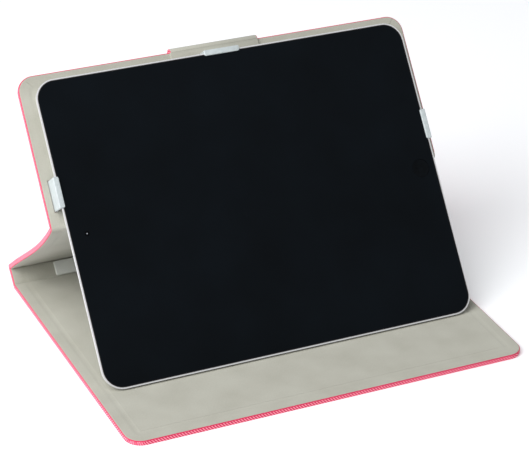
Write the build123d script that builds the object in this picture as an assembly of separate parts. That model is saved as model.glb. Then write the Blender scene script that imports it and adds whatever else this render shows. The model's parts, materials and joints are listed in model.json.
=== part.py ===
from build123d import *
import os
from math import asin, cos, degrees, radians, sin

# A fabric folio case for a 9.7 inch class tablet, standing open with a tablet clipped in. Millimetres.
# +X runs along the folds, +Y goes back to the spine, +Z is up. The origin is under the middle of the
# whole case, on the table. The case is one long strip: front cover, spine, rear flap and upper panel,
# folded at three creases, with a closing tab at the panel's top edge.

# ---- driving dimensions -------------------------------------------------------------------------
case_width = 254.0
corner_radius = 10.0
cover_length = 189.4        # free edge of the front cover to the first crease
spine_length = 12.66        # first crease to second
flap_length = 99.6          # second crease to third
panel_length = 91.2         # third crease to the panel's top edge

spine_angle = 47.0          # each section's rise from the table, counted on from the front cover
flap_angle = 139.1
panel_angle = 51.45

fabric = 0.6                # woven outer cloth
board = 1.6                 # stiffener
wadding = 0.5               # thin foam under the lining, level with the turned-in hem
lining = 0.5
hem_width = 8.0
lining_inset = 0.8
smallest_corner = 1.0       # corner radius that an inner layer keeps
cover_thickness = fabric + board + wadding + lining
half = cover_thickness / 2

crease_gap = [1.6, 2.1, 1.8]        # bare fabric each side of the three creases
crease_clearance = 0.05
crease_cloth = fabric + lining      # what is left of the thickness at a crease

tablet_width = 241.2
tablet_height = 185.7
tablet_depth = 9.2
tablet_corner = 12.4        # corner radius, and the width of the back's curved margin
tablet_rim = 1.2            # straight edge behind the glass, before the back curves in
glass_inset = 1.1
glass_thickness = 1.0
glass_plane = half + 9.7            # front of the glass above the panel's middle surface
tablet_low = -100.42        # the tablet's lower edge, from the third crease along the panel
key_x = 109.9
key_up = 92.4               # centre line of the key and the camera above the tablet's lower edge
key_radius = 5.5
key_travel = 0.4
key_dish_radius = 30.0
key_dish_depth = 0.4
camera_x = -109.5
camera_radius = 1.5

clip_wall = 1.4
clip_lip = 1.0
lip_gap = 0.15
clip_reach = 1.8            # how far a lip laps over the tablet
clip_clearance = 0.2
lip_round = 0.9             # corners of a lip, seen from the front
clip_back_round = 0.7       # outer edge between a clip's wall and its lip
clip_foot = 15.0
clip_foot_thickness = 0.9
side_clip_length = 18.6
side_clip_middle = 18.6     # from the third crease along the panel
top_clip_length = 22.8
rivet_radius = 1.0
rivet_head_radius = 2.0
rivet_head_height = 0.4
rivet_inset = 9.0           # from the tablet's edge in to the rivets
rivet_spacing = 10.0

tab_width = 58.0
tab_flap_length = 32.0
tab_board = 0.6
tab_corner = 6.0
tab_axis_drop = 0.3         # root axis below the panel's top edge
tab_roll_radius = half + 0.15       # inside of the roll over the panel's edge
tab_cloth = fabric + lining
tab_face = tab_roll_radius + tab_cloth      # the folded tab's lining, behind the panel's middle surface
tab_root_gap = 0.4
tab_crease_gap = 1.1
tab_anchor_length = 11.0
tab_slack = 0.2             # left between the tab and the closed front cover
tab_close_line = 2.6        # root axis to the fold that turns the tab over a closed front cover
# the strap spans the tablet, its clips and the closed front cover
closed_height = glass_plane + lip_gap + clip_lip + cover_thickness + tab_board + tab_slack
tab_flap_line = tab_close_line + closed_height - tab_face

magnet_width = 16.0
magnet_depth = 8.0
magnet_spacing = 28.0
magnet_from_fold = 19.2
plate_width = 52.0          # the steel plate that the magnets hold on to
plate_depth = 16.0
plate_thickness = 0.6
plate_from_edge = 20.0      # front cover's free edge to the plate's middle

bar_length = 198.4
bar_corner = 1.2
bar_chamfer = 0.3
bar_thickness = 1.5
bar_start = 1.1             # across the spine, from the first crease
bar_width = 9.1

# ---- the folded strip ---------------------------------------------------------------------------
spine_run = spine_length * cos(radians(spine_angle))
overall_depth = cover_length + spine_run + half
front_y = -overall_depth / 2


def step(start, length, angle):
    """The point that lies length further on from start, at that angle."""
    return start[0] + length * cos(radians(angle)), start[1] + length * sin(radians(angle))


fold_1 = (front_y + cover_length, half)
fold_2 = step(fold_1, spine_length, spine_angle)
fold_3 = step(fold_2, flap_length, flap_angle)


def frame(origin, angle):
    """A section's own frame: Y along the section, Z out of its lining, in the section's middle surface."""
    return Location((0, origin[0], origin[1]), (angle, 0, 0))


cover_frame = frame(fold_1, 0)
spine_frame = frame(fold_1, spine_angle)
flap_frame = frame(fold_2, flap_angle)
panel_frame = frame(fold_3, panel_angle)
tab_axis = step(fold_3, panel_length - tab_axis_drop, panel_angle)
tab_angle = panel_angle + 180       # the folded-back tab points down behind the panel
strap_frame = frame(tab_axis, tab_angle)


def tab_line(along):
    """A fold line across the folded tab, on its lining face."""
    return step(step(tab_axis, along, tab_angle), tab_face, tab_angle + 90)


tab_close_axis = tab_line(tab_close_line)
tab_flap_axis = tab_line(tab_flap_line)
tab_flap_frame = frame(tab_flap_axis, tab_angle)

os.makedirs("parts", exist_ok=True)


def save(name, shape, place):
    """Moves a shape from its section's frame into the case and writes it."""
    export_step(place * shape, f"parts/{name}.step")


def plate(y_low, y_high, z_low, z_high, half_width, radius=0, round_high=True):
    """A flat plate, with two of its corners rounded at one end."""
    outline = Pos(0, (y_low + y_high) / 2) * Rectangle(2 * half_width, y_high - y_low)
    if radius > 0:
        corners = outline.vertices().sort_by(Axis.Y)
        outline = fillet(corners[2:] if round_high else corners[:2], radius)
    return Pos(0, 0, z_low) * extrude(outline, amount=z_high - z_low)


# heights of the layers over the middle surface
fabric_top = -half + fabric
board_top = fabric_top + board
wadding_top = board_top + wadding


def flat_section(y_low, y_high, radius=0, round_high=True):
    """Board, wadding, outer fabric with its hem turned in, and lining, of one flat section."""
    edge = case_width / 2
    free_low = radius > 0 and not round_high
    free_high = radius > 0 and round_high

    def layer(inset, z_low, z_high):
        return plate(y_low + inset * free_low, y_high - inset * free_high, z_low, z_high,
                     edge - inset, max(radius - inset, smallest_corner if radius else 0), round_high)

    cloth = layer(0, -half, wadding_top) - layer(fabric, fabric_top, board_top)
    cloth -= layer(hem_width, board_top, wadding_top)
    return {"board": layer(fabric, fabric_top, board_top),
            "wadding": layer(hem_width, board_top, wadding_top),
            "fabric": cloth,
            "lining": layer(lining_inset, wadding_top, half)}


def crease(origin, angle_in, angle_out, gap_in, gap_out, side, reach, cloth, width):
    """Bent fabric round a fold axis. side is -1 where it wraps the outer cloth and 1 where it wraps
    the lining; reach is its outer radius and cloth its thickness."""
    middle = (angle_in + angle_out) / 2

    def across(angle, radius):
        return step(origin, side * radius, angle + 90)

    def along(angle, radius, length):
        return step(across(angle, radius), length, angle)

    low, high = reach - cloth, reach
    tail_in, tail_out = -(gap_in - crease_clearance), gap_out - crease_clearance
    outline = Curve() + [
        Line(along(angle_in, high, tail_in), across(angle_in, high)),
        ThreePointArc(across(angle_in, high), across(middle, high), across(angle_out, high)),
        Line(across(angle_out, high), along(angle_out, high, tail_out)),
        Line(along(angle_out, high, tail_out), along(angle_out, low, tail_out)),
        Line(along(angle_out, low, tail_out), across(angle_out, low)),
        ThreePointArc(across(angle_out, low), across(middle, low), across(angle_in, low)),
        Line(across(angle_in, low), along(angle_in, low, tail_in)),
        Line(along(angle_in, low, tail_in), along(angle_in, high, tail_in)),
    ]
    return extrude(Plane.YZ * make_face(outline), amount=width / 2, both=True)


# ---- front cover, which lies on the table -------------------------------------------------------
cover = flat_section(-cover_length, -crease_gap[0], corner_radius, round_high=False)
closure_plate = Pos(0, plate_from_edge - cover_length, fabric_top) * Box(
    plate_width, plate_depth, plate_thickness, align=(Align.CENTER, Align.CENTER, Align.MIN))
save("front_cover_fabric", cover["fabric"], cover_frame)
save("front_cover_board", cover["board"] - closure_plate, cover_frame)
save("front_cover_wadding", cover["wadding"], cover_frame)
save("front_cover_lining", cover["lining"], cover_frame)
save("closure_plate", closure_plate, cover_frame)

# ---- spine ---------------------------------------------------------------------------------------
spine = flat_section(crease_gap[0], spine_length - crease_gap[1])
for layer_name, shape in spine.items():
    save(f"spine_{layer_name}", shape, spine_frame)
bar_outline = Pos(0, bar_start + bar_width / 2) * RectangleRounded(bar_length, bar_width, bar_corner)
spine_bar = Pos(0, 0, half) * extrude(bar_outline, amount=bar_thickness)
spine_bar = chamfer(spine_bar.faces().sort_by(Axis.Z)[-1].edges(), bar_chamfer)
save("spine_bar", spine_bar, spine_frame)

# ---- rear flap -----------------------------------------------------------------------------------
flap = flat_section(crease_gap[1], flap_length - crease_gap[2])
for layer_name, shape in flap.items():
    save(f"flap_{layer_name}", shape, flap_frame)

# ---- clips that hold the tablet -------------------------------------------------------------------
foot_top = wadding_top
foot_low = foot_top - clip_foot_thickness
lip_low = glass_plane + lip_gap
lip_top = lip_low + clip_lip


def clip(length):
    """A clip on the +X side of a tablet whose edge is at X = 0: foot, wall and lip."""
    wall_in = clip_clearance
    wall_out = wall_in + clip_wall
    outline = Polyline(
        (wall_out - clip_foot, foot_low), (wall_out, foot_low), (wall_out, lip_top),
        (-clip_reach, lip_top), (-clip_reach, lip_low), (wall_in, lip_low),
        (wall_in, foot_top), (wall_out - clip_foot, foot_top), close=True)
    body = extrude(Plane.XZ * make_face(outline), amount=length / 2, both=True)
    tips = [e for e in body.edges().filter_by(Axis.Z) if e.center().X < 0 and e.center().Z > lip_low]
    body = fillet(tips, lip_round)
    back = [e for e in body.edges().filter_by(Axis.Y)
            if e.center().X > wall_in and e.center().Z > lip_low]
    return fillet(back, clip_back_round)


def rivets():
    """The two rivets of one clip, from the clip's foot down into the board."""
    upright = (Align.CENTER, Align.CENTER, Align.MIN)
    shank = Cylinder(rivet_radius, foot_low - fabric_top, align=upright)
    head = Cylinder(rivet_head_radius, rivet_head_height, align=upright)
    return [Pos(-rivet_inset, side * rivet_spacing / 2, fabric_top) * (shank + head) for side in (-1, 1)]


tablet_middle_y = tablet_low + tablet_height / 2
side_place = Pos(tablet_width / 2, side_clip_middle, 0)
clip_places = {"right_clip": side_place,
               "left_clip": Rot(0, 0, 180) * Pos(tablet_width / 2, -side_clip_middle, 0),
               "top_clip": Pos(0, tablet_low + tablet_height, 0) * Rot(0, 0, 90)}
clips = {}
rivet_solids = []
for name, place in clip_places.items():
    clips[name] = place * clip(top_clip_length if name == "top_clip" else side_clip_length)
    rivet_solids += [place * rivet for rivet in rivets()]
    save(name, clips[name], panel_frame)
save("clip_rivets", Compound(children=rivet_solids), panel_frame)

# ---- upper panel ------------------------------------------------------------------------------------
panel = flat_section(crease_gap[2], panel_length, corner_radius)
for layer_name, shape in panel.items():
    for solid in list(clips.values()) + (rivet_solids if layer_name == "board" else []):
        shape -= solid
    save(f"panel_{layer_name}", shape, panel_frame)

# ---- closing tab, folded back behind the panel --------------------------------------------------------
tab_edge = tab_width / 2
anchor_top = panel_length - tab_axis_drop - tab_root_gap
anchor = plate(anchor_top - tab_anchor_length, anchor_top, half, half + tab_cloth, tab_edge)
save("tab_anchor", anchor - clips["top_clip"], panel_frame)


def tab_section(y_low, y_high, z_low, stiffener, radius=0):
    """Outer cloth with its side hems, lining on the +Z side, and the board between them, if any."""
    board_low = z_low + fabric
    board_high = board_low + stiffener
    top = board_high + lining
    end = fabric if radius else 0

    def inner(low, high):
        return plate(y_low, y_high - end, low, high, tab_edge - fabric, max(radius - end, 0))

    cloth = plate(y_low, y_high, z_low, top, tab_edge, radius) - inner(board_low, top)
    return cloth, inner(board_high, top), inner(board_low, board_high) if stiffener else None


band_end = tab_close_line - tab_crease_gap
save("tab_root_band", plate(tab_root_gap, band_end, tab_roll_radius, tab_face, tab_edge), strap_frame)
strap_cloth, strap_facing, _ = tab_section(
    tab_close_line + tab_crease_gap, tab_flap_line - tab_crease_gap, tab_roll_radius, 0)
save("tab_strap_fabric", strap_cloth, strap_frame)
save("tab_strap_lining", strap_facing, strap_frame)

flap_cloth, flap_facing, flap_core = tab_section(
    tab_crease_gap, tab_flap_length, -tab_cloth, tab_board, tab_corner)
magnets = [Pos(side * magnet_spacing / 2, magnet_from_fold, fabric - tab_cloth) * Box(
    magnet_width, magnet_depth, tab_board, align=(Align.CENTER, Align.CENTER, Align.MIN))
    for side in (-1, 1)]
save("tab_flap_fabric", flap_cloth, tab_flap_frame)
save("tab_flap_lining", flap_facing, tab_flap_frame)
save("tab_flap_board", flap_core - magnets[0] - magnets[1], tab_flap_frame)
save("tab_magnets", Compound(children=magnets), tab_flap_frame)

# ---- creases: the cloth that bends between the sections ------------------------------------------------
save("front_crease", crease(fold_1, 0, spine_angle, crease_gap[0], crease_gap[0],
                            -1, half, crease_cloth, case_width), Location())
save("rear_crease", crease(fold_2, spine_angle, flap_angle, crease_gap[1], crease_gap[1],
                           -1, half, crease_cloth, case_width), Location())
save("panel_crease", crease(fold_3, flap_angle, panel_angle, crease_gap[2], crease_gap[2],
                            1, half, crease_cloth, case_width), Location())
save("tab_root_crease", crease(tab_axis, panel_angle, panel_angle - 180, tab_root_gap, tab_root_gap,
                               1, tab_face, tab_cloth, tab_width), Location())
tab_bend = plate(-tab_crease_gap + crease_clearance, tab_crease_gap - crease_clearance,
                 -tab_cloth, -tab_cloth + fabric, tab_edge)
save("tab_close_crease", tab_bend, frame(tab_close_axis, tab_angle))
save("tab_flap_crease", tab_bend, tab_flap_frame)

# ---- the tablet ------------------------------------------------------------------------------------------
edge_drop = tablet_depth - tablet_rim
edge_radius = (tablet_corner ** 2 + edge_drop ** 2) / (2 * edge_drop)
flat_x = tablet_width / 2 - tablet_corner
flat_y = tablet_height / 2 - tablet_corner


def margin():
    """Cross-section of the tablet's curved margin, from the edge of its flat back at X = 0 to its rim."""
    turn = asin(tablet_corner / edge_radius) / 2
    bend = (edge_radius * sin(turn), -tablet_depth + edge_radius * (1 - cos(turn)))
    outline = Curve() + [
        Line((0, 0), (tablet_corner, 0)),
        Line((tablet_corner, 0), (tablet_corner, -tablet_rim)),
        ThreePointArc((tablet_corner, -tablet_rim), bend, (0, -tablet_depth)),
        Line((0, -tablet_depth), (0, 0)),
    ]
    return Plane.XZ * make_face(outline)


def tablet_blank():
    """The whole tablet: a flat middle, four curved margins and four turned corners."""
    blank = Box(2 * flat_x, 2 * flat_y, tablet_depth, align=(Align.CENTER, Align.CENTER, Align.MAX))
    side = extrude(margin(), amount=flat_y, both=True)
    end = extrude(margin(), amount=flat_x, both=True)
    corner = revolve(margin(), Axis.Z, 90)
    for quarter in range(4):
        long_side = quarter % 2 == 0
        reach = flat_x if long_side else flat_y
        blank += Rot(0, 0, 90 * quarter) * Pos(reach, 0, 0) * (side if long_side else end)
        x, y = [(1, 1), (-1, 1), (-1, -1), (1, -1)][quarter]
        blank += Pos(x * flat_x, y * flat_y, 0) * Rot(0, 0, 90 * quarter) * corner
    return blank


def slab(width, height, radius, z_low, z_high):
    """A flat slab with rounded corners, centred on the tablet."""
    return Pos(0, 0, z_low) * extrude(RectangleRounded(width, height, radius), amount=z_high - z_low)


def disc(x, y, radius, z_low, z_high):
    return Pos(x, y, z_low) * Cylinder(radius, z_high - z_low, align=(Align.CENTER, Align.CENTER, Align.MIN))


key_y = key_up - tablet_height / 2
bay_width = 2 * flat_x - 3          # hollow inside the shell
bay_height = 2 * flat_y - 3
bay_corner = 4.0
bay_low = -tablet_depth + 1.0
module_corner = 3.0                 # display and battery, which stand clear of the bay's walls
display_low = -3.2
battery_high = -3.4
flange = 0.4                        # thickness of the key's retaining flange, and how far it stands out
key_gap = 0.15                      # round the key, and down from the glass to its rim
key_top = -key_gap
key_low = -glass_thickness - flange - 0.1
recess_low = key_low - key_travel - 0.2

glass_size = (tablet_width - 2 * glass_inset, tablet_height - 2 * glass_inset)
glass = slab(*glass_size, tablet_corner - glass_inset, -glass_thickness, 0)
body = tablet_blank() - glass
body -= slab(bay_width, bay_height, bay_corner, bay_low, 0)
body -= disc(key_x, key_y, key_radius + flange + 0.2, recess_low, 0)
glass -= disc(key_x, key_y, key_radius + key_gap, -glass_thickness, 0)
glass -= disc(camera_x, key_y, camera_radius, -glass_thickness, 0)
key = disc(key_x, key_y, key_radius, key_low + flange, key_top)
key += disc(key_x, key_y, key_radius + flange, key_low, key_low + flange)
key -= Pos(key_x, key_y, key_top - key_dish_depth + key_dish_radius) * Sphere(key_dish_radius)

tablet_place = panel_frame * Pos(0, tablet_middle_y, glass_plane)
save("tablet_shell", body, tablet_place)
save("tablet_glass", glass, tablet_place)
save("tablet_camera_window", disc(camera_x, key_y, camera_radius, -glass_thickness, 0), tablet_place)
save("tablet_home_key", key, tablet_place)
save("tablet_display", slab(bay_width - 8, bay_height - 8, module_corner,
                             display_low, -glass_thickness), tablet_place)
save("tablet_battery", slab(bay_width - 10, bay_height - 10, module_corner,
                             bay_low, battery_high), tablet_place)

print("overall depth", round(overall_depth, 3))
for name, point in {"fold 1": fold_1, "fold 2": fold_2, "fold 3": fold_3,
                    "tab axis": tab_axis, "tab close axis": tab_close_axis,
                    "tab flap axis": tab_flap_axis}.items():
    print(name, round(point[0], 4), round(point[1], 4))
key_centre = tablet_place * Pos(key_x, key_y, 0)
print("key centre", key_centre.position)
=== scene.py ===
import bmesh
import bpy
import json
import math
from mathutils import Matrix, Vector


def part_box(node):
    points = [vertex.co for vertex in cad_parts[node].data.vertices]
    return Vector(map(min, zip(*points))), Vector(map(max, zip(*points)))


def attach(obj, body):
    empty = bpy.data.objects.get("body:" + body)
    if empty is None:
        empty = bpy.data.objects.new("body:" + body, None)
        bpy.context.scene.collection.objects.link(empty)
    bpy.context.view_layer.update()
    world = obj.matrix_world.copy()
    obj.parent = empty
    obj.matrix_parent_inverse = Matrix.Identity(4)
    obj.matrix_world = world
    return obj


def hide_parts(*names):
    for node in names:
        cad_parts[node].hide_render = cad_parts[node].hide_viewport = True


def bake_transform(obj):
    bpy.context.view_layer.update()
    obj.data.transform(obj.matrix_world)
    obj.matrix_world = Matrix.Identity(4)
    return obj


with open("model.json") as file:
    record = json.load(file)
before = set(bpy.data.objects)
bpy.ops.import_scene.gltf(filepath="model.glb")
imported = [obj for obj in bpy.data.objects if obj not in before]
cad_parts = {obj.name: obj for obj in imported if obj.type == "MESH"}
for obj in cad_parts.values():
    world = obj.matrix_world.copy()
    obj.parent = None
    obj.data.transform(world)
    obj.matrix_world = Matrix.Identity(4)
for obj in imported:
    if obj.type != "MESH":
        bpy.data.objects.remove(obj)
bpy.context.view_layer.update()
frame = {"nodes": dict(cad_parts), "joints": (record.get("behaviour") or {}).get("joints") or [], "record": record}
print("frame loaded")

mm = 0.001
bpy.context.scene.view_settings.view_transform = "Standard"

# The folded strip, worked out from the frame.
# Cloth and lining are modelled flat, as (x across, y along the strip, z height over the middle
# surface), and then folded. Lengths here are millimetres.
jointPlace = {joint["name"]: joint.get("pos_m") for joint in frame["joints"]}


def sideView(name):
    return Vector((jointPlace[name][1], jointPlace[name][2])) / mm


frontFold, rearFold, topFold = (sideView(name) for name in ("spine_fold", "flap_fold", "panel_fold"))
tabAxis = sideView("tab_lift")
half = frontFold.y                                   # half the thickness of a cover
coverLength = frontFold.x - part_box("front_cover_fabric")[0].y / mm
spineAngle = math.atan2(*reversed(rearFold - frontFold))
flapAngle = math.atan2(*reversed(topFold - rearFold))
panelAngle = math.atan2(*reversed(tabAxis - topFold))
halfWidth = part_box("front_cover_fabric")[1].x / mm
strip = {
    "reach": (1.6, 2.1, 1.8),          # half the width of each crease
    "corner": 10.0,
    "panelTop": 0.3,                   # panel's edge over the tab's root axis
    "flapBend": 0.21,                  # how much of the top crease's turn the loaded flap takes up
}
frontAt = coverLength
rearAt = frontAt + (rearFold - frontFold).length
topAt = rearAt + (topFold - rearFold).length
tabAt = topAt + (tabAxis - topFold).length
stripEnd = tabAt + strip["panelTop"]
reach = strip["reach"]


def smooth(share):
    share = min(max(share, 0.0), 1.0)
    return share * share * (3 - 2 * share)


def turned(along, height, angle):
    return Vector((along * math.cos(angle) - height * math.sin(angle),
                   along * math.sin(angle) + height * math.cos(angle)))


def flapShare(at):
    # the bent flap and the top crease turn about one axis: a little along the flap, the rest in the crease
    bend = strip["flapBend"]
    start, end = rearAt + reach[1], topAt - reach[2]
    if at < end:
        return bend * (at - start) / (end - start)
    return bend + (1 - bend) * (at - end) / (2 * reach[2])


def folded(point):
    x, at, height = point
    if at < frontAt + reach[0]:
        turn = spineAngle * smooth((at - frontAt + reach[0]) / (2 * reach[0]))
        side = frontFold + turned(at - frontAt, height, turn)
    elif at < rearAt + reach[1]:
        turn = (flapAngle - spineAngle) * smooth((at - rearAt + reach[1]) / (2 * reach[1]))
        side = rearFold + turned(at - rearAt, height, spineAngle + turn)
    else:
        turn = (panelAngle - flapAngle) * smooth(flapShare(at))
        side = topFold + turned(at - topAt, height, flapAngle + turn)
    return Vector((x, side.x, side.y))


tolerance = 0.01          # millimetres
ringWidth = 0.5


def same(a, b):
    return abs(a - b) < tolerance


def toObjectMode():
    if bpy.context.object and bpy.context.object.mode != "OBJECT":
        bpy.ops.object.mode_set(mode="OBJECT")


def select(piece):
    toObjectMode()
    bpy.ops.object.select_all(action="DESELECT")
    piece.select_set(True)
    bpy.context.view_layer.objects.active = piece


def pick(piece, kind, wanted):
    # selects edges by their two ends, or faces by their middle and normal, in millimetres
    select(piece)
    bpy.ops.object.mode_set(mode="EDIT")
    bpy.ops.mesh.select_mode(type=kind)
    bpy.ops.mesh.select_all(action="DESELECT")
    shape = bmesh.from_edit_mesh(piece.data)
    if kind == "EDGE":
        for edge in shape.edges:
            edge.select = bool(wanted(edge.verts[0].co / mm, edge.verts[1].co / mm))
    else:
        for face in shape.faces:
            face.select = bool(wanted(face.calc_center_median() / mm, face.normal))
    bmesh.update_edit_mesh(piece.data)


def roundEdges(piece, width, segments, wanted):
    pick(piece, "EDGE", wanted)
    bpy.ops.mesh.bevel(offset=width * mm, segments=segments, affect="EDGES")
    toObjectMode()


def addSlab(name, side, near, far, low, high, corner=0, roundNear=False, roundFar=False, middle=0.0):
    # a flat slab; side is half its width, and its free ends have rounded corners
    toObjectMode()
    bpy.ops.object.select_all(action="DESELECT")
    bpy.ops.mesh.primitive_cube_add(size=1)
    piece = bpy.context.object
    piece.name = name
    piece.scale = (2 * side * mm, (far - near) * mm, (high - low) * mm)
    piece.location = (middle * mm, (near + far) / 2 * mm, (low + high) / 2 * mm)
    bpy.ops.object.transform_apply(location=True, rotation=True, scale=True)
    if corner and (roundNear or roundFar):
        roundEdges(piece, corner, 10, lambda a, b: same(a.x, b.x) and same(a.y, b.y)
                   and ((roundNear and same(a.y, near)) or (roundFar and same(a.y, far))))
    return piece


def roundRim(piece, level, width, segments, openEnds=()):
    # rounds the edge all round at one height, apart from the ends that go on into a crease
    roundEdges(piece, width, segments, lambda a, b: same(a.z, level) and same(b.z, level)
               and not any(same(a.y, end) and same(b.y, end) for end in openEnds))


def ringBack(piece):
    # a narrow ring round the flat back, so that the rounding's shading stays at the edge
    pick(piece, "FACE", lambda middle, normal: normal.z < -0.99)
    bpy.ops.mesh.inset(thickness=ringWidth * mm)
    toObjectMode()


def cutAway(piece, cutter):
    select(piece)
    change = piece.modifiers.new("cut", "BOOLEAN")
    change.object = cutter
    change.solver = "EXACT"
    bpy.ops.object.modifier_apply(modifier="cut")
    bpy.data.objects.remove(cutter)


def trim(piece, at, keepBelow):
    select(piece)
    bpy.ops.object.mode_set(mode="EDIT")
    bpy.ops.mesh.select_all(action="SELECT")
    bpy.ops.mesh.bisect(plane_co=(0, at * mm, 0), plane_no=(0, 1, 0), use_fill=True,
                        clear_outer=keepBelow, clear_inner=not keepBelow)
    toObjectMode()


def sliceAcross(piece, near, far, count):
    # extra cuts across the strip, so that it can bend
    select(piece)
    bpy.ops.object.mode_set(mode="EDIT")
    for number in range(1, count):
        at = near + (far - near) * number / count
        bpy.ops.mesh.select_all(action="SELECT")
        bpy.ops.mesh.bisect(plane_co=(0, at * mm, 0), plane_no=(0, 1, 0))
    toObjectMode()


def sliceAt(piece, *levels):
    # extra cuts level with the table, while the piece is still flat
    select(piece)
    bpy.ops.object.mode_set(mode="EDIT")
    for level in levels:
        bpy.ops.mesh.select_all(action="SELECT")
        bpy.ops.mesh.bisect(plane_co=(0, 0, level * mm), plane_no=(0, 0, 1))
    toObjectMode()


def unroll(piece, low):
    # the piece's own map, in millimetres of cloth; side walls open outwards, so that the weave
    # runs on round the edge
    layer = piece.data.uv_layers.active or piece.data.uv_layers.new()
    layer.name = "cloth"
    for face in piece.data.polygons:
        flat = Vector((face.normal.x, face.normal.y))
        away = flat.normalized() if flat.length > 0.3 else Vector((0, 0))
        for corner in face.loop_indices:
            point = piece.data.vertices[piece.data.loops[corner].vertex_index].co / mm
            layer.data[corner].uv = (point.x + away.x * (point.z - low), point.y + away.y * (point.z - low))


def inPaintedShade(face):
    # cloth painted deeper pink as painted shade where it turns in: what faces up, and the end walls over the turn
    # line
    endWall = abs(face.normal.y) > 0.5 and face.center.z / mm > layers["turnLine"]
    return face.normal.z > 0.3 or endWall


def finish(piece, material, place=folded, body=None, low=-1.6, angle=35, nodes=(), shadeMaterial=None):
    # maps the weave, puts every point in its folded place, and gives the finish
    unroll(piece, low)
    # faces that get the deeper pink of painted shade, picked while the piece is still flat
    shadedFaces = [face.index for face in piece.data.polygons if shadeMaterial and inPaintedShade(face)]
    for vertex in piece.data.vertices:
        vertex.co = Vector(place(vertex.co / mm)) * mm
    piece.data.materials.clear()
    piece.data.materials.append(material)
    if shadeMaterial:
        piece.data.materials.append(shadeMaterial)
    for index in shadedFaces:
        piece.data.polygons[index].material_index = 1
    select(piece)
    bpy.ops.object.shade_smooth_by_angle(angle=math.radians(angle))
    if nodes:
        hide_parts(*nodes)
    if body:
        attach(piece, body)
    return piece


def linear(hexColour):
    parts = [int(hexColour[i:i + 2], 16) / 255 for i in (1, 3, 5)]
    return tuple(p / 12.92 if p <= 0.04045 else ((p + 0.055) / 1.055) ** 2.4 for p in parts) + (1,)


def addNode(material, kind, settings=None, links=None):
    # "stops" are the places and colours of a colour ramp
    node = material.node_tree.nodes.new(kind)
    for name, value in (settings or {}).items():
        if name == "stops":
            while len(node.color_ramp.elements) < len(value):
                node.color_ramp.elements.new(0.5)
            for element, (place, colour) in zip(node.color_ramp.elements, value):
                element.position = place
                element.color = linear(colour)
        elif isinstance(name, int) or name in node.inputs:
            node.inputs[name].default_value = value
        else:
            setattr(node, name, value)
    for name, source in (links or {}).items():
        material.node_tree.links.new(source, node.inputs[name])
    return node


def newMaterial(name, **settings):
    material = bpy.data.materials.new(name)
    material.use_nodes = True
    shader = material.node_tree.nodes["Principled BSDF"]
    for setting, value in settings.items():
        shader.inputs[setting.replace("_", " ")].default_value = value
    return material, shader


bandsPerUnit = 2 * math.pi / 20      # a Wave texture of scale 1 repeats after this length


def makeTwill():
    # polyester twill, piece dyed: matt, with slanted ribs that catch the light along their tops
    values = {
        "rib": {"spacing": 1.35, "turn": 42, "wobble": 0.3},
        "thread": {"spacing": 2.0, "turn": -35, "wobble": 0.8},
        "waver": 2.0, "waverScale": 1.5, "threadShare": 0.2, "height": 0.22, "strength": 0.8,
        "stops": [(0.15, "#c80a48"), (0.45, "#fa3f72"), (0.8, "#ffa3b4")],
    }
    material, shader = newMaterial("dyedPolyesterTwill", Roughness=0.85, Sheen_Weight=0.25,
                                   Sheen_Roughness=0.5)
    cloth = addNode(material, "ShaderNodeUVMap", {"uv_map": "cloth"}).outputs["UV"]
    bands = []
    for band in (values["rib"], values["thread"]):
        mapping = addNode(material, "ShaderNodeMapping", {"Rotation": (0, 0, math.radians(band["turn"]))},
                          {"Vector": cloth})
        wave = addNode(material, "ShaderNodeTexWave",
                       {"Scale": bandsPerUnit / band["spacing"], "Distortion": band["wobble"],
                        "Detail": values["waver"], "Detail Scale": values["waverScale"]},
                       {"Vector": mapping.outputs["Vector"]})
        bands.append(wave.outputs["Color"])
    weave = addNode(material, "ShaderNodeMix",
                    {"data_type": "RGBA", "blend_type": "MULTIPLY", 0: values["threadShare"]},
                    {6: bands[0], 7: bands[1]}).outputs[2]
    colour = addNode(material, "ShaderNodeValToRGB", {"stops": values["stops"]}, {"Fac": weave})
    relief = addNode(material, "ShaderNodeBump",
                     {"Distance": values["height"] * mm, "Strength": values["strength"]}, {"Height": weave})
    material.node_tree.links.new(colour.outputs["Color"], shader.inputs["Base Color"])
    material.node_tree.links.new(relief.outputs["Normal"], shader.inputs["Normal"])
    return material


def makeMicrofibre():
    # brushed microfibre: a very short nap with soft clouds where it was stroked
    values = {
        "nap": 0.7, "napDetail": 3.0, "cloud": 22.0, "cloudDetail": 2.0, "cloudShare": 0.5,
        "height": 0.05, "strength": 0.5,
        "stops": [(0.3, "#a5a497"), (0.5, "#b0afa3"), (0.7, "#b8b8ac")],
    }
    material, shader = newMaterial("brushedMicrofibre", Roughness=0.95, Sheen_Weight=0.15,
                                   Sheen_Roughness=0.6)
    cloth = addNode(material, "ShaderNodeUVMap", {"uv_map": "cloth"}).outputs["UV"]
    nap = addNode(material, "ShaderNodeTexNoise",
                  {"Scale": 1 / values["nap"], "Detail": values["napDetail"]}, {"Vector": cloth})
    cloud = addNode(material, "ShaderNodeTexNoise",
                    {"Scale": 1 / values["cloud"], "Detail": values["cloudDetail"]}, {"Vector": cloth})
    mixed = addNode(material, "ShaderNodeMix", {"data_type": "RGBA", 0: values["cloudShare"]},
                    {6: nap.outputs["Fac"], 7: cloud.outputs["Fac"]}).outputs[2]
    colour = addNode(material, "ShaderNodeValToRGB", {"stops": values["stops"]}, {"Fac": mixed})
    relief = addNode(material, "ShaderNodeBump",
                     {"Distance": values["height"] * mm, "Strength": values["strength"]},
                     {"Height": nap.outputs["Fac"]})
    material.node_tree.links.new(colour.outputs["Color"], shader.inputs["Base Color"])
    material.node_tree.links.new(relief.outputs["Normal"], shader.inputs["Normal"])
    return material


grained = {"detail": 3.0, "darkAt": 0.3, "lightAt": 0.7, "strength": 0.5}


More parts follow.
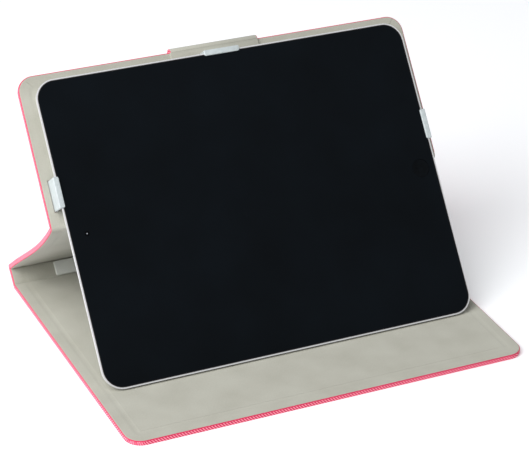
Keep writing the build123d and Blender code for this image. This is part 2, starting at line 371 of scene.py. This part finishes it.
def makeGrained(name, dark, light, grain, depth, **settings):
    # a plain finish with a fine grain: grain is its size and depth its height, in millimetres
    material, shader = newMaterial(name, **settings)
    place = addNode(material, "ShaderNodeTexCoord").outputs["Object"]
    noise = addNode(material, "ShaderNodeTexNoise",
                    {"Scale": 1 / (grain * mm), "Detail": grained["detail"]}, {"Vector": place})
    colour = addNode(material, "ShaderNodeValToRGB",
                     {"stops": [(grained["darkAt"], dark), (grained["lightAt"], light)]},
                     {"Fac": noise.outputs["Fac"]})
    relief = addNode(material, "ShaderNodeBump", {"Distance": depth * mm, "Strength": grained["strength"]},
                     {"Height": noise.outputs["Fac"]})
    material.node_tree.links.new(colour.outputs["Color"], shader.inputs["Base Color"])
    material.node_tree.links.new(relief.outputs["Normal"], shader.inputs["Normal"])
    return material


twill = makeTwill()
# the same cloth turned in over the edge, smoother, and painted a deeper pink: painted shade where it folds over
shadedTwill = makeGrained("twillInPaintedShade", "#cc0a47", "#dc2058", 0.9, 0.03, Roughness=0.85)
microfibre = makeMicrofibre()
finishes = {
    # pulped greyboard, rolled: dull with flecks
    "board": makeGrained("rolledGreyboard", "#8a847a", "#a59e92", 1.2, 0.06, Roughness=0.95),
    # cut polyurethane foam: open cells
    "foam": makeGrained("cutPolyurethaneFoam", "#d6d5cf", "#efeee9", 0.5, 0.12, Roughness=1.0),
    # cold-rolled steel sheet: faint rolling haze
    "steel_plate": makeGrained("coldRolledSteel", "#8f9194", "#a9abae", 0.4, 0.01, Metallic=1.0,
                               Roughness=0.42),
    # acetal moulding: semi-matt, with a spark-eroded grain from its mould
    "spine_bar": makeGrained("mouldedAcetal", "#e2e5e0", "#ecefea", 0.3, 0.02, Roughness=0.45),
    # tumbled aluminium: bright and slightly worn
    "rivets": makeGrained("tumbledAluminium", "#b4b5b8", "#cdced0", 0.3, 0.01, Metallic=1.0, Roughness=0.35),
    # polypropylene moulding: milky and satin
    "clip_plastic": makeGrained("mouldedPolypropylene", "#b7c0c1", "#c6cecf", 2.5, 0.01, Roughness=0.34,
                                Subsurface_Weight=0.1, Subsurface_Radius=(0.002, 0.002, 0.002)),
    # nickel plate over a sintered magnet: bright with a soft orange peel
    "magnets": makeGrained("platedNickel", "#b9b4a8", "#c9c5ba", 0.6, 0.01, Metallic=1.0, Roughness=0.25),
    # bead-blasted anodised aluminium: an even silvery haze
    "tablet_shell": makeGrained("blastedAnodisedAluminium", "#e4e4e6", "#efeff0", 0.25, 0.008,
                                Metallic=0.6, Roughness=0.5),
    # coated glass over a black mask: dark, with almost no glare
    "tablet_glass": makeGrained("coatedBlackGlass", "#0d1013", "#0f1317", 40.0, 0.0, Roughness=0.2,
                                Specular_IOR_Level=0.03),
    # smoked glass, polished: a little darker than the glass round it
    "camera_window": makeGrained("smokedGlass", "#050607", "#08090b", 0.8, 0.0, Roughness=0.2,
                                 Specular_IOR_Level=0.03),
    # acrylic key, polished
    "home_key": makeGrained("polishedAcrylic", "#0a0c0e", "#0d1013", 3.0, 0.0, Roughness=0.25,
                            Specular_IOR_Level=0.05),
    # polycarbonate module casing
    "tablet_inside": makeGrained("mouldedPolycarbonate", "#2b2b2e", "#3a3a3e", 0.8, 0.02, Roughness=0.6),
}
print("materials made")

# cloth, boards and lining of the four sections; heights are over the middle surface
layers = {
    "cloth": 0.6, "boardTop": 0.6, "waddingTop": 1.1, "hemTop": 1.42,
    "hem": 8.0, "hemEnd": 6.2, "hemLift": 0.2, "turnLine": 1.0, "liningInset": 0.45,
    "bottomRound": 0.55, "topRound": 0.4, "liningRound": 0.15, "leastCorner": 1.0,
    "beyond": 1.0,                     # how far a cutter reaches past what it cuts
}
flapFill = {"gap": 0.1, "clear": 0.03, "boardRound": 0.2, "waddingRound": 0.15, "cuts": 24}
# the fold in the lining at each corner, and the soft line pressed round it
mitre = {"width": 0.5, "depth": 0.16, "from": 2.4, "to": 9.0, "shift": 3.0}
pressed = {"inset": 8.0, "halfWidth": 1.5, "depth": 0.3, "edge": 0.5, "ring": 0.4, "beyond": 20.0}
sections = [
    {"name": "frontCover", "node": "front_cover", "body": "front_cover",
     "near": 0, "far": frontAt - reach[0], "roundNear": True, "roundFar": False},
    {"name": "spine", "node": "spine", "body": "spine",
     "near": frontAt + reach[0], "far": rearAt - reach[1], "roundNear": False, "roundFar": False},
    {"name": "flap", "node": "flap", "body": None,
     "near": rearAt + reach[1], "far": topAt - reach[2], "roundNear": False, "roundFar": False},
    {"name": "panel", "node": "panel", "body": "upper_panel",
     "near": topAt + reach[2], "far": stripEnd, "roundNear": False, "roundFar": True},
]


def layerSlab(name, section, inset, low, high, overrun=0.0):
    roundNear, roundFar = section["roundNear"], section["roundFar"]
    near = section["near"] + (inset if roundNear else -overrun)
    far = section["far"] - (inset if roundFar else -overrun)
    corner = max(strip["corner"] - inset, layers["leastCorner"])
    return addSlab(name, halfWidth - inset, near, far, low, high, corner, roundNear, roundFar)


def makeCloth(section):
    # outer cloth: it lies under the board, goes up its edges and turns in over it
    cloth = layerSlab(section["name"] + "Cloth", section, 0, -half, layers["hemTop"])
    openEnds = [section[end] for end, free in (("near", "roundNear"), ("far", "roundFar"))
                if not section[free]]
    roundRim(cloth, -half, layers["bottomRound"], 4, openEnds)
    roundRim(cloth, layers["hemTop"], layers["topRound"], 3, openEnds)
    ringBack(cloth)
    sliceAt(cloth, layers["turnLine"])
    boardLow, beyond = -half + layers["cloth"], layers["beyond"]
    cutAway(cloth, layerSlab("pocket", section, layers["cloth"], boardLow, layers["boardTop"], beyond))
    cutAway(cloth, layerSlab("pocket", section, layers["hemEnd"], boardLow + layers["hemLift"],
                             layers["waddingTop"] + beyond, beyond))
    return cloth


def makeLining(section):
    # the soft pressed line runs parallel to the free edges, over the end of the turned-in cloth
    inset = layers["liningInset"]
    lining = layerSlab(section["name"] + "Lining", section, inset, layers["waddingTop"], half,
                       pressed["beyond"])
    roundRim(lining, half, layers["liningRound"], 2)
    wide, edge = pressed["halfWidth"], pressed["edge"]
    first = pressed["inset"] - inset - 2 * wide
    pick(lining, "FACE", lambda middle, normal: normal.z > 0.99 and same(middle.z, half))
    for thickness, depth in ((edge, 0), (first - edge, 0), (wide, 0), (wide, -pressed["depth"]),
                             (wide, pressed["depth"]), (pressed["ring"], 0)):
        bpy.ops.mesh.inset(thickness=thickness * mm, depth=depth * mm, use_even_offset=True)
    toObjectMode()
    if not section["roundNear"]:
        trim(lining, section["near"], False)
    if not section["roundFar"]:
        trim(lining, section["far"], True)
    return lining


def bendWithFlap(piece):
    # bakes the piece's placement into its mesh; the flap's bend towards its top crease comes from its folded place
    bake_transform(piece)


clips = {
    "wallNear": 0.2, "wallFar": 1.6, "foot": 13.4, "footLow": 0.2, "footHigh": 1.1,
    "lipLow": 11.45, "lipHigh": 12.45, "lipReach": 1.8,
    "tipRound": 1.0, "wallRound": 0.55, "lipRound": 0.45,
    "slotGap": 0.35, "slotInside": 0.1, "bedGap": 0.02, "bedTop": 1.5,
}
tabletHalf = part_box("tablet_shell")[1].x / mm
clipHalf = {"left_clip": 9.3, "right_clip": 9.3, "top_clip": 11.4}
clipAlong = 18.6                        # middle of the side clips over the top crease
# the tablet's two ends along the panel from the top crease, its corners, and its rim outside the glass
tablet = {"low": -100.42, "high": 85.28, "corner": 12.4, "glassInset": 1.1}
tabletTopAt = topAt + tablet["high"]


def clipPlace(x, at, turn):
    return Matrix.Translation((x, at, 0)) @ Matrix.Rotation(turn, 4, "Z")


clipPlaces = {
    "right_clip": clipPlace(tabletHalf, topAt + clipAlong, 0),
    "left_clip": clipPlace(-tabletHalf, topAt + clipAlong, math.pi),
    "top_clip": clipPlace(0, tabletTopAt, math.pi / 2),
}


def clipBlock(low, high, side, bottom, top, node):
    # a block in a clip's own frame, where x is 0 at the tablet's edge and grows outwards
    block = addSlab("block", (high - low) / 2, -side, side, bottom, top, middle=(low + high) / 2)
    place = clipPlaces[node].copy()
    place.translation *= mm
    block.data.transform(place)
    return block


def cutForClips(piece, withFoot):
    # a slot for each wall, and a bed for its foot
    gap = clips["slotGap"]
    for node, side in clipHalf.items():
        cutAway(piece, clipBlock(clips["wallNear"] - clips["slotInside"], clips["wallFar"] + gap, side + gap,
                                 layers["boardTop"], half + layers["beyond"], node))
        if withFoot:
            cutAway(piece, clipBlock(-clips["foot"], clips["wallFar"], side,
                                     clips["footLow"] - clips["bedGap"], clips["bedTop"], node))


for section in sections:
    onFlap = section["name"] == "flap"
    cloth, lining = makeCloth(section), makeLining(section)
    made = [(cloth, twill, "outer_fabric", "_fabric"), (lining, microfibre, "lining", "_lining")]
    if section["name"] == "panel":
        cutForClips(cloth, True)
        cutForClips(lining, False)
        for hand in (-1, 1):
            groove = addSlab("groove", mitre["width"] / 2, mitre["from"], mitre["to"],
                             half - mitre["depth"], half + layers["beyond"])
            place = Matrix.Translation((hand * (halfWidth - mitre["shift"]) * mm, stripEnd * mm, 0))
            groove.data.transform(place @ Matrix.Rotation(math.pi - hand * math.pi / 4, 4, "Z"))
            cutAway(lining, groove)
    if onFlap:
        gap, clear = flapFill["gap"], flapFill["clear"]
        boardLow = -half + layers["cloth"] + clear
        boardTop, waddingTop = layers["boardTop"] - clear, layers["waddingTop"] - clear
        board = layerSlab("flapBoard", section, layers["cloth"] + gap, boardLow, boardTop)
        wadding = layerSlab("flapWadding", section, layers["hem"] + gap, layers["boardTop"], waddingTop)
        roundRim(board, boardTop, flapFill["boardRound"], 1)
        roundRim(wadding, waddingTop, flapFill["waddingRound"], 2)
        made += [(board, finishes["board"], "board", "_board"),
                 (wadding, finishes["foam"], "foam", "_wadding")]
    for piece, material, slot, node in made:
        if onFlap:
            sliceAcross(piece, section["near"], section["far"], flapFill["cuts"])
        # the cloth's turned-in faces get the painted shade
        finish(piece, material, body=section["body"], nodes=[section["node"] + node],
               shadeMaterial=shadedTwill if piece is cloth else None)
        if onFlap:
            bendWithFlap(piece)
print("covers made")

# bare cloth and lining between the sections
creases = [
    {"name": "frontCrease", "node": "front_crease", "at": frontAt, "reach": reach[0], "fold": frontFold,
     "angles": (0, spineAngle), "bodies": ("front_cover", "spine"), "low": -half, "clothTop": 1.37},
    {"name": "rearCrease", "node": "rear_crease", "at": rearAt, "reach": reach[1], "fold": rearFold,
     "angles": (spineAngle, flapAngle), "bodies": ("spine", "rear_flap"), "low": -half, "clothTop": 1.37},
    {"name": "panelCrease", "node": "panel_crease", "at": topAt, "reach": reach[2], "fold": topFold,
     "angles": (flapAngle + (panelAngle - flapAngle) * smooth(strip["flapBend"]), panelAngle),
     "bodies": ("rear_flap", "upper_panel"), "low": -1.0, "clothTop": 1.05},
]
creaseLining = {"low": 1.02, "high": 1.5, "inset": 0.45}
creaseBend = {"cuts": 16, "angle": 60, "least": 0.35}


def bendAtCrease(piece, crease, low, high):
    # works out how far the squeezed side reaches, which nothing uses further, and bakes the piece's placement into
    # its mesh
    turn = crease["angles"][1] - crease["angles"][0]
    squeezed = high if turn > 0 else -low
    limit = crease["reach"] * math.cos(turn / 2) - squeezed * math.sin(abs(turn) / 2)
    limit = max(limit, creaseBend["least"])
    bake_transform(piece)


for crease in creases:
    near, far = crease["at"] - crease["reach"], crease["at"] + crease["reach"]
    cloth = addSlab(crease["name"] + "Cloth", halfWidth, near, far, crease["low"], crease["clothTop"])
    roundRim(cloth, crease["low"], layers["bottomRound"], 3, (near, far))
    roundRim(cloth, crease["clothTop"], layers["topRound"], 3, (near, far))
    sliceAcross(cloth, near, far, creaseBend["cuts"])
    # the cloth's turned-in faces get the painted shade
    finish(cloth, twill, angle=creaseBend["angle"], nodes=[crease["node"]],
           shadeMaterial=shadedTwill)
    bendAtCrease(cloth, crease, crease["low"], crease["clothTop"])
    lining = addSlab(crease["name"] + "Lining", halfWidth - creaseLining["inset"], near, far,
                     creaseLining["low"], creaseLining["high"])
    sliceAcross(lining, near, far, creaseBend["cuts"])
    finish(lining, microfibre, angle=creaseBend["angle"])
    bendAtCrease(lining, crease, creaseLining["low"], creaseLining["high"])
print("creases made")

clipNames = {"left_clip": "leftClip", "right_clip": "rightClip", "top_clip": "topClip"}


def makeClip(node):
    # a foot under the lining, a wall up the tablet's side, and a lip over its glass
    side = clipHalf[node]
    wallNear, wallFar = clips["wallNear"], clips["wallFar"]
    clip = addSlab(clipNames[node], (wallFar - wallNear) / 2, -side, side, clips["footLow"],
                   clips["lipHigh"], middle=(wallFar + wallNear) / 2)
    sliceAt(clip, clips["footHigh"], clips["lipLow"])
    for inwards, wanted in ((clips["foot"] + wallNear, lambda z: z < clips["footHigh"]),
                            (clips["lipReach"] + wallNear, lambda z: z > clips["lipLow"])):
        pick(clip, "FACE", lambda middle, normal: normal.x < -0.9 and wanted(middle.z))
        bpy.ops.mesh.extrude_region_move(TRANSFORM_OT_translate={"value": (-inwards * mm, 0, 0)})
    toObjectMode()
    tip, top = -clips["lipReach"], clips["lipHigh"]
    roundEdges(clip, clips["tipRound"], 5,
               lambda a, b: same(a.x, b.x) and same(a.y, b.y) and same(a.x, tip))
    roundEdges(clip, clips["wallRound"], 4,
               lambda a, b: same(a.x, b.x) and same(a.y, b.y) and same(a.x, wallFar)
               and max(a.z, b.z) > clips["footHigh"])
    roundEdges(clip, clips["lipRound"], 4, lambda a, b: same(a.z, b.z) and same(a.z, top))
    turn = clipPlaces[node]
    return finish(clip, finishes["clip_plastic"], place=lambda p: folded(turn @ p),
                  body="upper_panel", nodes=[node])


for node in clipNames:
    makeClip(node)
print("clips made")

# the closing tab is modelled flat too, with y 0 where its roll over the panel's edge begins
tab = {
    "side": 29.0, "hem": 0.5, "low": 1.72, "high": 2.78, "liningLow": 2.3, "liningHigh": 2.88,
    "roll": 7.2, "bandEnd": 1.5, "closeLine": 2.6, "creaseReach": 1.1, "flapLength": 32.0,
    "boardRoom": 0.62, "pocketGap": 0.02, "corner": 6.0, "round": 0.4, "liningRound": 0.08,
    "rollCuts": 20, "creaseCuts": 8, "angle": 50,
}
tabAnchor = {"from": -11.4, "low": 1.58, "under": 0.04, "round": 0.4,
             "slotSide": 0.3, "slotEnd": 0.25, "slotLow": 1.0, "slotHigh": 4.0}
closeAt = tab["closeLine"]
flapLineAt = (sideView("tab_flap_fold") - sideView("tab_close")).length + closeAt


def tabPoint(point):
    x, at, height = point
    if at <= 0:
        side = topFold + turned(tabAt - topAt + at, height, panelAngle)
    elif at < tab["roll"]:
        side = tabAxis + turned(0, height, panelAngle - math.pi * at / tab["roll"])
    else:
        side = tabAxis + turned(at - tab["roll"], height, panelAngle - math.pi)
    return Vector((x, side.x, side.y))


def tabStrip(name, near, far, cuts, boardRoom=0.0):
    # cloth with its sides turned in, and the lining over it; the part with a board in it ends the tab
    ends = boardRoom > 0
    free = (near,) if ends else (near, far)
    clothTop, liningLow = tab["high"] + boardRoom, tab["liningLow"] + boardRoom
    liningTop = tab["liningHigh"] + boardRoom
    cloth = addSlab(name + "Cloth", tab["side"], near, far, tab["low"], clothTop, tab["corner"],
                    roundFar=ends)
    roundRim(cloth, tab["low"], tab["round"], 3, free)
    roundRim(cloth, clothTop, tab["round"], 3, free)
    if not cuts:
        ringBack(cloth)
    if ends:
        wall = layers["cloth"] - tab["pocketGap"]
        cutAway(cloth, addSlab("pocket", tab["side"] - wall, near - layers["beyond"], far - wall,
                               tab["low"] + wall, liningLow, tab["corner"] - wall, roundFar=True))
    last = far - (tab["hem"] if ends else 0)
    lining = addSlab(name + "Lining", tab["side"] - tab["hem"], near, last, liningLow, liningTop,
                     tab["corner"] - tab["hem"], roundFar=ends)
    roundRim(lining, liningTop, tab["liningRound"], 2, (near, far))
    made = [(cloth, twill, "outer_fabric"), (lining, microfibre, "lining")]
    for piece, material, slot in made:
        if cuts:
            sliceAcross(piece, near, far, cuts)
        finish(piece, material, place=tabPoint, low=tab["low"], angle=tab["angle"])
    return [piece for piece, _, _ in made]


anchorTop = tab["high"] - tabAnchor["under"]
anchor = addSlab("tabAnchor", tab["side"], tabAnchor["from"], 0, tabAnchor["low"], anchorTop)
roundRim(anchor, anchorTop, tabAnchor["round"], 3, (0,))
slotEnd = tabletTopAt + clips["wallFar"] + tabAnchor["slotEnd"] - tabAt
cutAway(anchor, addSlab("slot", clipHalf["top_clip"] + tabAnchor["slotSide"],
                        tabAnchor["from"] - layers["beyond"], slotEnd,
                        tabAnchor["slotLow"], tabAnchor["slotHigh"]))
finish(anchor, microfibre, place=tabPoint, body="upper_panel", nodes=["tab_anchor"])

rollPieces = tabStrip("tabRoll", 0, tab["roll"], tab["rollCuts"])
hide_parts("tab_root_crease")

# the panel's cloth is gathered into a soft bead under the roll
bpy.ops.object.select_all(action="DESELECT")
gathered = {"radius": 1.66, "side": 28.8, "round": 0.5, "steps": 40}
bpy.ops.mesh.primitive_cylinder_add(vertices=gathered["steps"], radius=gathered["radius"] * mm,
                                    depth=2 * gathered["side"] * mm, rotation=(0, math.pi / 2, 0))
tabBead = bpy.context.object
tabBead.name = "tabBead"
bpy.ops.object.transform_apply(location=True, rotation=True, scale=True)
roundEdges(tabBead, gathered["round"], 3,
           lambda a, b: same(abs(a.x), gathered["side"]) and same(abs(b.x), gathered["side"]))
finish(tabBead, twill, place=lambda p: (p.x, tabAxis.x + p.y, tabAxis.y + p.z),
       body="upper_panel", low=-gathered["radius"], angle=tab["angle"])
for piece in rollPieces:
    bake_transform(piece)

start = tab["roll"]
for piece in tabStrip("tabRoot", start, start + tab["bandEnd"], 0):
    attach(piece, "tab_root")
    if piece.name == "tabRootCloth":
        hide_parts("tab_root_band")
tabFolds = [("tabCloseCrease", closeAt, ("tab_root", "tab_strap"), "tab_close_crease"),
            ("tabFlapCrease", flapLineAt, ("tab_strap", "tab_flap"), "tab_flap_crease")]
for name, at, bodies, node in tabFolds:
    pieces = tabStrip(name, start + at - tab["creaseReach"], start + at + tab["creaseReach"],
                      tab["creaseCuts"])
    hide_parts(node)
    for piece in pieces:
        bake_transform(piece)
strapNear, strapFar = start + closeAt + tab["creaseReach"], start + flapLineAt - tab["creaseReach"]
for piece, node in zip(tabStrip("tabStrap", strapNear, strapFar, 0),
                       ("tab_strap_fabric", "tab_strap_lining")):
    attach(piece, "tab_strap")
    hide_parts(node)
flapNear, flapFar = strapFar + 2 * tab["creaseReach"], start + flapLineAt + tab["flapLength"]
for piece, node in zip(tabStrip("tabFlap", flapNear, flapFar, 0, tab["boardRoom"]),
                       ("tab_flap_fabric", "tab_flap_lining")):
    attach(piece, "tab_flap")
    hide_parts(node)
print("tab made")

# CAD nodes that stay get their own finishes
slotOf = {part["node"]: part["material_slot"] for part in frame["record"]["subparts"]}
for name, node in frame["nodes"].items():
    material = {"outer_fabric": twill, "lining": microfibre}.get(slotOf[name]) or finishes[slotOf[name]]
    node.data.materials.clear()
    node.data.materials.append(material)


def onPanel(point):
    side = topFold + turned(point[1], point[2], panelAngle)
    return Vector((point[0], side.x, side.y))


# moulded rubber: a thin bead that closes the gap round the glass
rubber = makeGrained("mouldedRubber", "#2a2523", "#3a3431", 0.4, 0.01, Roughness=0.7)
gasket = {"width": 0.3, "overlap": 0.06, "low": 11.28, "high": 11.37}


def gasketSlab(name, inset, low, high):
    return addSlab(name, tabletHalf - inset, tablet["low"] + inset, tablet["high"] - inset, low, high,
                   tablet["corner"] - inset, roundNear=True, roundFar=True)


gasketRing = gasketSlab("tabletGasket", tablet["glassInset"] - gasket["width"],
                        gasket["low"], gasket["high"])
cutAway(gasketRing, gasketSlab("opening", tablet["glassInset"] + gasket["overlap"],
                               gasket["low"] - layers["beyond"], gasket["high"] + layers["beyond"]))
finish(gasketRing, rubber, place=onPanel, body="upper_panel")

# ground lens, coated: its light grey is partly painted reflection, which makes the bright point behind the camera
# window
lens = {"radius": 0.42, "flatness": 0.3, "drop": 0.5}
lensWithPaintedGlint = makeGrained("lensWithPaintedGlint", "#85898f", "#a4a8ae", 0.5, 0.0, Roughness=0.12)
low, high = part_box("tablet_camera_window")
bpy.ops.object.select_all(action="DESELECT")
bpy.ops.mesh.primitive_uv_sphere_add(segments=24, ring_count=12, radius=lens["radius"] * mm)
cameraLens = bpy.context.object
cameraLens.name = "cameraLens"
cameraLens.scale = (1, 1, lens["flatness"])
bpy.ops.object.transform_apply(location=True, rotation=True, scale=True)
outwards = Vector((0, -math.sin(panelAngle), math.cos(panelAngle)))
windowFront = (low + high) / 2 / mm + outwards * lens["drop"]


def atWindow(point):
    along = Vector((point.x, point.y * math.cos(panelAngle), point.y * math.sin(panelAngle)))
    return windowFront + along + outwards * point.z


finish(cameraLens, lensWithPaintedGlint, body="upper_panel", angle=60, place=atWindow)
print("tablet details made")

bpy.ops.object.select_all(action="DESELECT")
studio = {
    "floorSize": 8, "world": 0.34, "aim": (0, 0, 0.06),
    "keyPower": 29.0, "keySize": 1.2, "keyPlace": (-1.6, -0.35, 1.1),
    "fillPower": 26.0, "fillSize": 1.3, "fillPlace": (-1.0, -0.5, 2.1),
}
bpy.ops.mesh.primitive_plane_add(size=studio["floorSize"])
floor = bpy.context.object
floor.name = "floor"
# lit paper backdrop, bright enough to wash out
floor.data.materials.append(makeGrained("seamlessPaper", "#f3f5f8", "#f6f8fa", 1.0, 0.0, Roughness=0.95,
                                        Emission_Color=linear("#ffffff"), Emission_Strength=0.22))

world = bpy.data.worlds.new("studio")
bpy.context.scene.world = world
world.use_nodes = True
world.node_tree.nodes["Background"].inputs["Color"].default_value = linear("#fbfcff")
world.node_tree.nodes["Background"].inputs["Strength"].default_value = studio["world"]
for kind in ("key", "fill"):
    lamp = bpy.data.lights.new(kind, "AREA")
    lamp.energy = studio[kind + "Power"]
    lamp.size = studio[kind + "Size"]
    light = bpy.data.objects.new(kind, lamp)
    light.location = studio[kind + "Place"]
    aim = Vector(studio["aim"]) - light.location
    light.rotation_euler = aim.to_track_quat("-Z", "Y").to_euler()
    bpy.context.scene.collection.objects.link(light)

view = {"place": (-0.53484, -1.09257, 0.73313), "turn": (61.710, -1.365, -24.611), "lens": 158.67,
        "shift": (0.0484, -0.0564), "sensor": 36, "farthest": 20}
cameraData = bpy.data.cameras.new("camera")
cameraData.sensor_width = view["sensor"]
cameraData.lens = view["lens"]
cameraData.shift_x, cameraData.shift_y = view["shift"]
cameraData.clip_end = view["farthest"]
camera = bpy.data.objects.new("camera", cameraData)
camera.location = view["place"]
camera.rotation_euler = [math.radians(value) for value in view["turn"]]
bpy.context.scene.collection.objects.link(camera)
bpy.context.scene.camera = camera
print("studio made")
